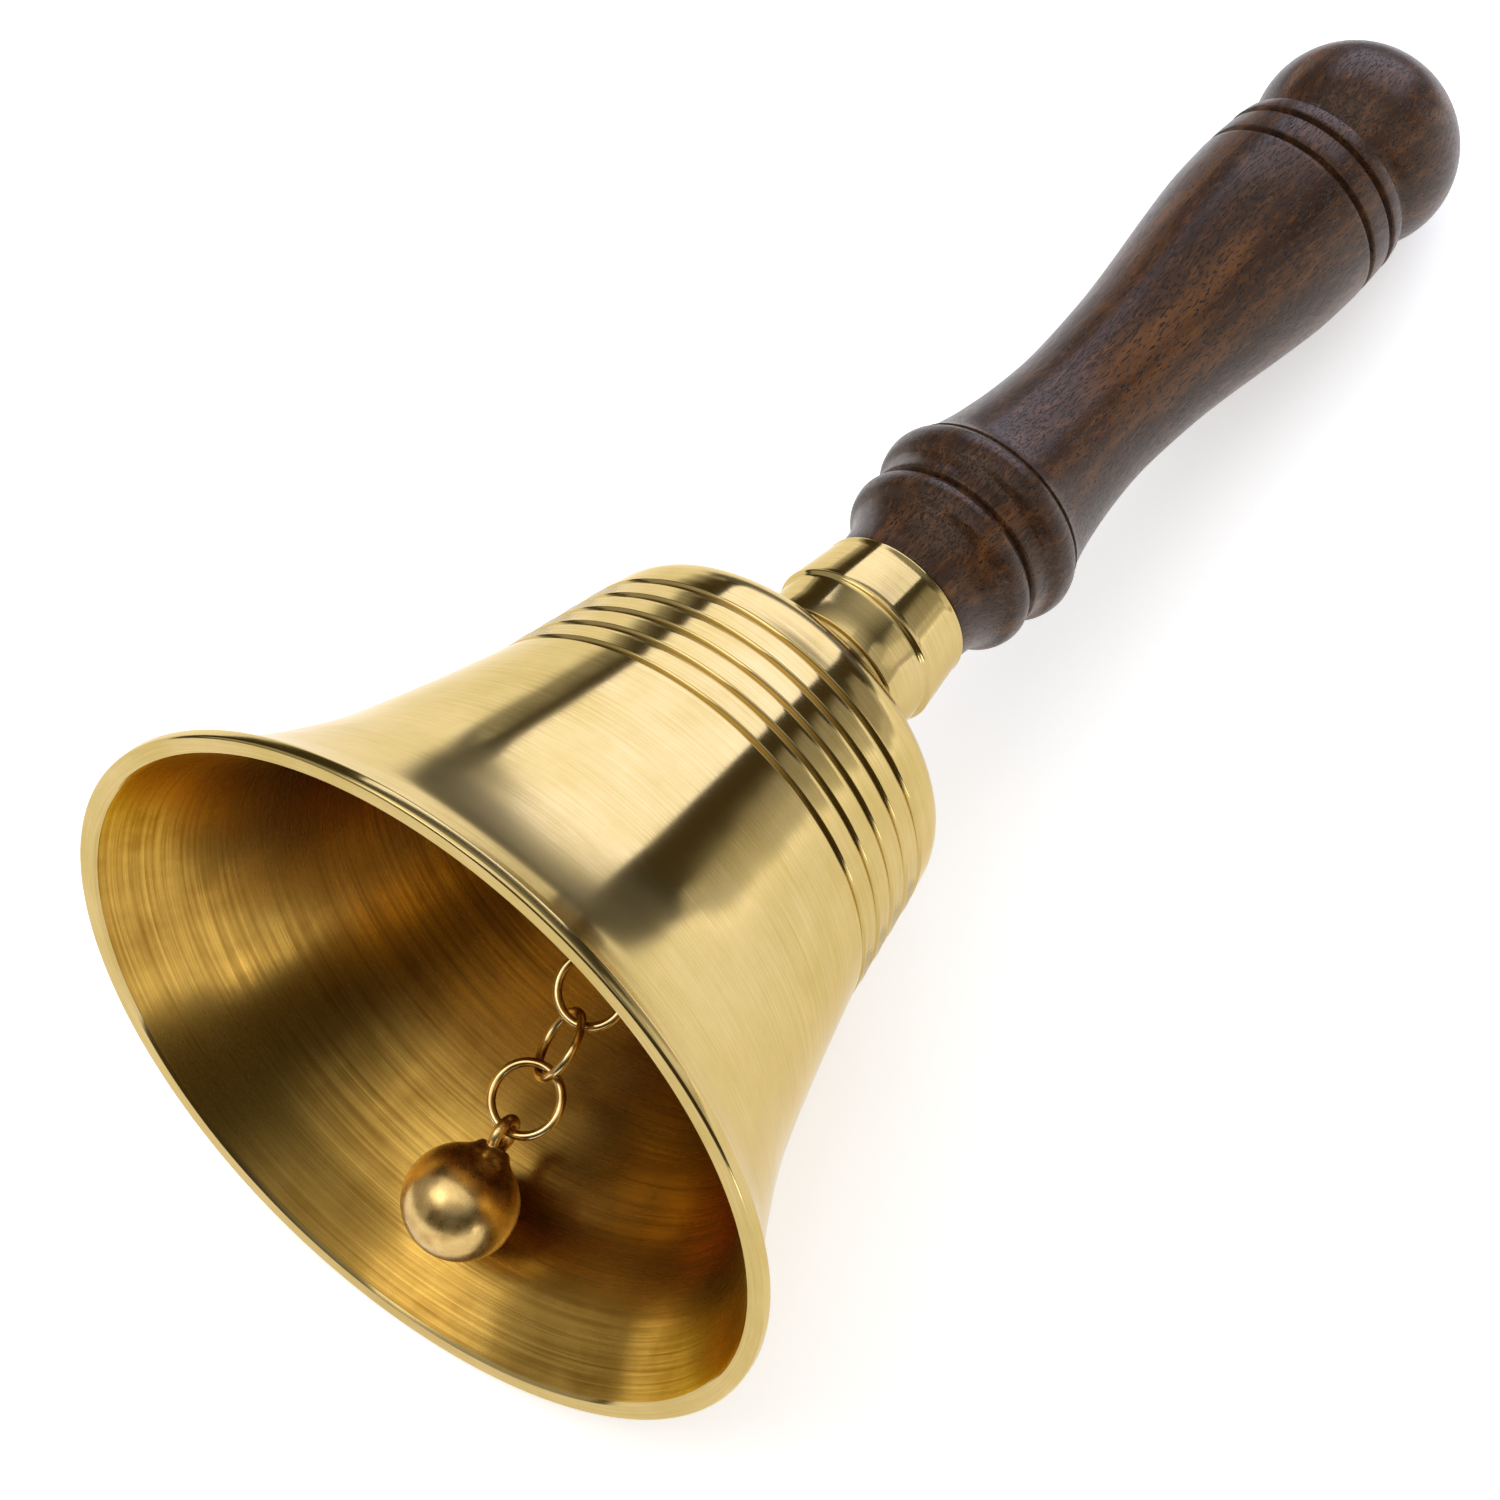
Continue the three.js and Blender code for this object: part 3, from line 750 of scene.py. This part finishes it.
# %% The washer and the nut
washer_outline = [(2.8, 67.1), *arc(6.8, 67.3, 0.2, -90, 0, 3),
                  *arc(6.8, 68.25, 0.2, 0, 90, 3), (2.8, 68.45)]
washer_outline.append(washer_outline[0])
washer = turn("crown_disc", washer_outline, 96, washer_brass)

NUT_FLATS = 8.0
NUT_LOW, NUT_HIGH = 62.8, 67.06


def hexagon_nut():
    """A nut with its corners chamfered, cut from a turned blank by six flats."""
    blank = bmesh.new()
    corner = NUT_FLATS / 2 / math.cos(math.pi / 6)
    rings = [(2.7, NUT_LOW + 0.5), (3.1, NUT_LOW), (3.9, NUT_LOW), (corner, NUT_LOW + 0.45),
             (corner, NUT_HIGH - 0.45), (3.9, NUT_HIGH), (3.1, NUT_HIGH), (2.7, NUT_HIGH - 0.5)]
    sides = 48
    grid = []
    for radius, level in rings:
        row = []
        for i in range(sides):
            angle = math.tau * i / sides
            to_flat = NUT_FLATS / 2 / math.cos((angle + math.pi / 6) % (math.pi / 3) - math.pi / 6)
            reach = min(radius, to_flat)
            row.append(blank.verts.new((reach * math.cos(angle), reach * math.sin(angle), level)))
        grid.append(row)
    for lower, upper in zip(grid, grid[1:] + grid[:1]):
        for i in range(sides):
            blank.faces.new((lower[i], lower[(i + 1) % sides], upper[(i + 1) % sides], upper[i]))
    mesh = bpy.data.meshes.new("nut")
    blank.to_mesh(mesh)
    blank.free()
    mesh.transform(bell_place)
    mesh.materials.append(zinc_steel)
    return finished("hex_nut", mesh, 25)


nut = hexagon_nut()

# %% [markdown]
# ## Each piece goes with its body
#
# The frame moves in eight bodies: the bell with everything fixed to it, six rings and the clapper. Each
# piece made here stands for one node of the frame and rides on that node's body.

# %% Ride and replace
made_pieces = [
    (bell, "bell_shell", "bell", "polished_brass"),
    (neck, "neck_ferrule", "bell", "polished_brass"),
    (handle, "handle", "bell", "dark_hardwood"),
    (bolt, "eye_bolt", "bell", "zinc_steel"),
    (washer, "crown_washer", "bell", "aged_brass"),
    (nut, "clamp_nut", "bell", "zinc_steel"),
    (clapper, "clapper", "clapper", "aged_brass"),
]
made_pieces += [(ring, name, name, "aged_brass") for ring, name in links]
for piece, node, body, slot in made_pieces:
    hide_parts(node)
    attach(piece, body)

# %% [markdown]
# ## The table and the light
#
# Polished metal shows its surroundings, so the light here is mostly shapes for the brass to mirror. The
# table is a sheet of opal acrylic, lit a little from below, which keeps shadows faint. It is plain and
# pale wherever it is looked at, and so is the room. What the brass mirrors is darker further out: for
# every ray but the camera's, the table's colour and glow are painted darker at a distance from the bell
# and in a wedge beyond the handle, as painted shade that only reflections see, and the room is dim and
# warm up to a bright ceiling. Those draw the dark streaks on both sides of the long highlight. The Light
# Path node tells a look from a reflection.

# %% The table
table_mesh = bpy.data.meshes.new("table")
REACH = 2.5
GLOW = 0.53
TABLE_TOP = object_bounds()[0].z
PAINTED_SHADE_CENTRE = (0.1, -0.05, 0)
PAINTED_SHADE_START, PAINTED_SHADE_FULL = 0.45, 0.65
SHADE_WEDGE_LINES = [(-47, -0.03, 0.0), (62, 0.035, 0.06), (28, 0.117, 0.145)]  # degrees, and metres that way
table_mesh.from_pydata([(-REACH, -REACH, TABLE_TOP), (REACH, -REACH, TABLE_TOP),
                        (REACH, REACH, TABLE_TOP), (-REACH, REACH, TABLE_TOP)], [], [(0, 1, 2, 3)])
table = bpy.data.objects.new("table", table_mesh)
bpy.context.scene.collection.objects.link(table)
opal, opal_tree, opal_shader = new_finish("opal_table")
table_at = add_node(opal_tree, "ShaderNodeTexCoord").outputs["Object"]
fibres = add_node(opal_tree, "ShaderNodeTexNoise", {"Vector": table_at, "Scale": 900.0, "Detail": 3.0})
white = add_node(opal_tree, "ShaderNodeMix", {
    "Factor": fibres.outputs["Fac"], 6: linear("#F2F2F2"), 7: linear("#F8F8F8")}, data_type="RGBA").outputs[2]
from_middle = add_node(opal_tree, "ShaderNodeVectorMath", {
    0: table_at, 1: PAINTED_SHADE_CENTRE}, operation="DISTANCE").outputs["Value"]
round_edge = add_node(opal_tree, "ShaderNodeMapRange", {
    "Value": from_middle, "From Min": PAINTED_SHADE_START, "From Max": PAINTED_SHADE_FULL},
    interpolation_type="SMOOTHSTEP")
wedge = 1.0
for direction, start, stop in SHADE_WEDGE_LINES:
    angle = math.radians(direction)
    reach = add_node(opal_tree, "ShaderNodeVectorMath", {
        0: table_at, 1: (math.cos(angle), math.sin(angle), 0)}, operation="DOT_PRODUCT").outputs["Value"]
    past_line = add_node(opal_tree, "ShaderNodeMapRange", {
        "Value": reach, "From Min": start, "From Max": stop}, interpolation_type="SMOOTHSTEP")
    wedge = add_node(opal_tree, "ShaderNodeMath", {
        0: wedge, 1: past_line.outputs[0]}, operation="MINIMUM").outputs[0]
# Painted shade: every ray but the camera's sees the table painted dark grey and unlit beyond a radius and in
# a wedge, which the brass mirrors as dark streaks.
mirrored = add_node(opal_tree, "ShaderNodeMath", {
    0: 1.0, 1: add_node(opal_tree, "ShaderNodeLightPath").outputs["Is Camera Ray"]}, operation="SUBTRACT")
painted_shade_region = add_node(opal_tree, "ShaderNodeMath", {
    0: round_edge.outputs[0], 1: wedge}, operation="MAXIMUM")
painted_reflection_shade = add_node(opal_tree, "ShaderNodeMath", {
    0: painted_shade_region.outputs[0], 1: mirrored.outputs[0]}, operation="MULTIPLY")
opal_tree.links.new(add_node(opal_tree, "ShaderNodeMix", {
    "Factor": painted_reflection_shade.outputs[0], 6: white, 7: linear("#5A5A5A")}, data_type="RGBA").outputs[2],
    opal_shader.inputs["Base Color"])
glow = add_node(opal_tree, "ShaderNodeMapRange", {
    "Value": painted_reflection_shade.outputs[0], "To Min": GLOW, "To Max": 0.0})
opal_tree.links.new(glow.outputs[0], opal_shader.inputs["Emission Strength"])
opal_shader.inputs["Emission Color"].default_value = (1, 1, 1, 1)
opal_shader.inputs["Roughness"].default_value = 0.9
opal_shader.inputs["Specular IOR Level"].default_value = 0.2
table_mesh.materials.append(opal)
print("The table lies at", round(TABLE_TOP / MM, 2), "mm and glows at", GLOW)

# %% [markdown]
# A big soft panel stands behind the bell and leans over it. It is the long bright streak from crown to
# mouth. A second panel overhead and a third from the left light the table, the wood and the inside of
# the bell. The others are small cards: two at the level of the table and a wall of light behind one of
# them for the sides of the bell, one for the edge of the rim, and two for the glints inside the mouth.

# %% The lights
AIM = Vector((-0.02, 0, 0.05))


def soft_panel(name, azimuth, elevation, distance, width, height, power, tint=(1, 1, 1), lean=0):
    """A rectangle of light, aimed at the bell from a direction in degrees and then leaned over it."""
    light = bpy.data.lights.new(name, "AREA")
    light.shape = "RECTANGLE"
    light.size, light.size_y = width, height
    light.energy = power
    light.color = tint
    lamp = bpy.data.objects.new(name, light)
    a, e = math.radians(azimuth), math.radians(elevation)
    away = Vector((math.cos(a) * math.cos(e), math.sin(a) * math.cos(e), math.sin(e)))
    lamp.location = AIM + away * distance
    facing = Vector((math.cos(a), math.sin(a), 0)) * math.cos(e + math.radians(lean))
    facing.z = math.sin(e + math.radians(lean))
    lamp.rotation_euler = facing.to_track_quat("Z", "Y").to_euler()
    bpy.context.scene.collection.objects.link(lamp)
    return lamp


soft_panel("back_panel", 14, 8.7, 0.56, 0.44, 0.51, 1.34, tint=(0.96, 1.0, 1.3), lean=49)
plain_panels = [  # name, azimuth and elevation in degrees, distance, width and height in metres, watts
    ("top_panel", 110, 83, 0.8, 1.0, 1.0, 1.5),
    ("left_panel", 130, 22, 0.9, 0.9, 0.7, 0.8),
    ("right_card", -36, -1.5, 0.42, 0.24, 0.075, 0.035),
    ("high_card", 148, 47, 0.7, 0.4, 0.3, 0.6),
    ("mouth_card", -126, -4.6, 0.31, 0.06, 0.04, 0.022),
    ("left_card", 50, -2, 0.42, 0.18, 0.05, 0.0127),
    ("right_wall", -42, 11, 0.6, 0.42, 0.19, 0.1),
    ("rim_card", -64, 14, 0.5, 0.3, 0.46, 0.27),
]
for panel in plain_panels:
    soft_panel(*panel)
print(1 + len(plain_panels), "lights")

# %% The room
DIM, CEILING, LOOKED_AT = 0.075, 0.9, 0.95
room = bpy.data.worlds.new("room")
room.use_nodes = True
sky = room.node_tree
rise = add_node(sky, "ShaderNodeSeparateXYZ", {0: add_node(sky, "ShaderNodeTexCoord").outputs["Generated"]})
ceiling = add_node(sky, "ShaderNodeMapRange", {
    "Value": rise.outputs[2], "From Min": 0.5, "From Max": 1.0, "To Min": DIM, "To Max": CEILING},
    interpolation_type="SMOOTHSTEP")
seen = add_node(sky, "ShaderNodeLightPath").outputs["Is Camera Ray"]
brightness = add_node(sky, "ShaderNodeMix", {
    "Factor": seen, 2: ceiling.outputs[0], 3: LOOKED_AT}, data_type="FLOAT")
sky.links.new(brightness.outputs[0], sky.nodes["Background"].inputs["Strength"])
warmth = add_node(sky, "ShaderNodeMapRange", {"Value": rise.outputs[2], "From Min": 0.3, "From Max": 0.6})
whiteness = add_node(sky, "ShaderNodeMath", {0: warmth.outputs[0], 1: seen}, operation="MAXIMUM")
sky.links.new(add_node(sky, "ShaderNodeMix", {
    "Factor": whiteness.outputs[0], 6: linear("#F5D890"), 7: (1, 1, 1, 1)}, data_type="RGBA").outputs[2],
    sky.nodes["Background"].inputs["Color"])
bpy.context.scene.world = room
bpy.context.scene.view_settings.view_transform = "Standard"
print("The room is", DIM, "below and", CEILING, "overhead")

# %% [markdown]
# ## The camera
#
# The camera looks steeply down on the bell from the mouth's side, a little over two thirds of a metre
# away, with a long lens. It is easiest to place in the bell's own frame: beside the mouth and below it,
# looking up along the bell, and rolled so that the axis runs from lower left to upper right. The spot is
# in millimetres and is swung round the axis with the direction of view.

# %% The camera
VIEW_RISE = math.radians(31.008)
VIEW_ROUND = math.radians(204.5)
FOCAL_LENGTH, SENSOR = 156.0, 36.0
camera_spot = Vector((634.2, 0, -320.5))
forward = Vector((-math.cos(VIEW_RISE), 0, math.sin(VIEW_RISE)))
along_bell = Vector((math.sin(VIEW_RISE), 0, math.cos(VIEW_RISE)))
right = (along_bell + Vector((0, 1, 0))) / math.sqrt(2)
up = (along_bell - Vector((0, 1, 0))) / math.sqrt(2)
swing = Matrix.Rotation(VIEW_ROUND, 4, "Z")
lens = bpy.data.cameras.new("camera")
lens.lens = FOCAL_LENGTH
lens.sensor_width = SENSOR
lens.clip_start = 0.01
camera = bpy.data.objects.new("camera", lens)
look = (bell_turn @ swing).to_3x3() @ Matrix((right, up, -forward)).transposed()
camera.matrix_world = Matrix.Translation(bell_place @ swing @ camera_spot) @ look.to_4x4()
bpy.context.scene.collection.objects.link(camera)
bpy.context.scene.camera = camera
print("The camera is at", [round(value, 3) for value in camera.location])
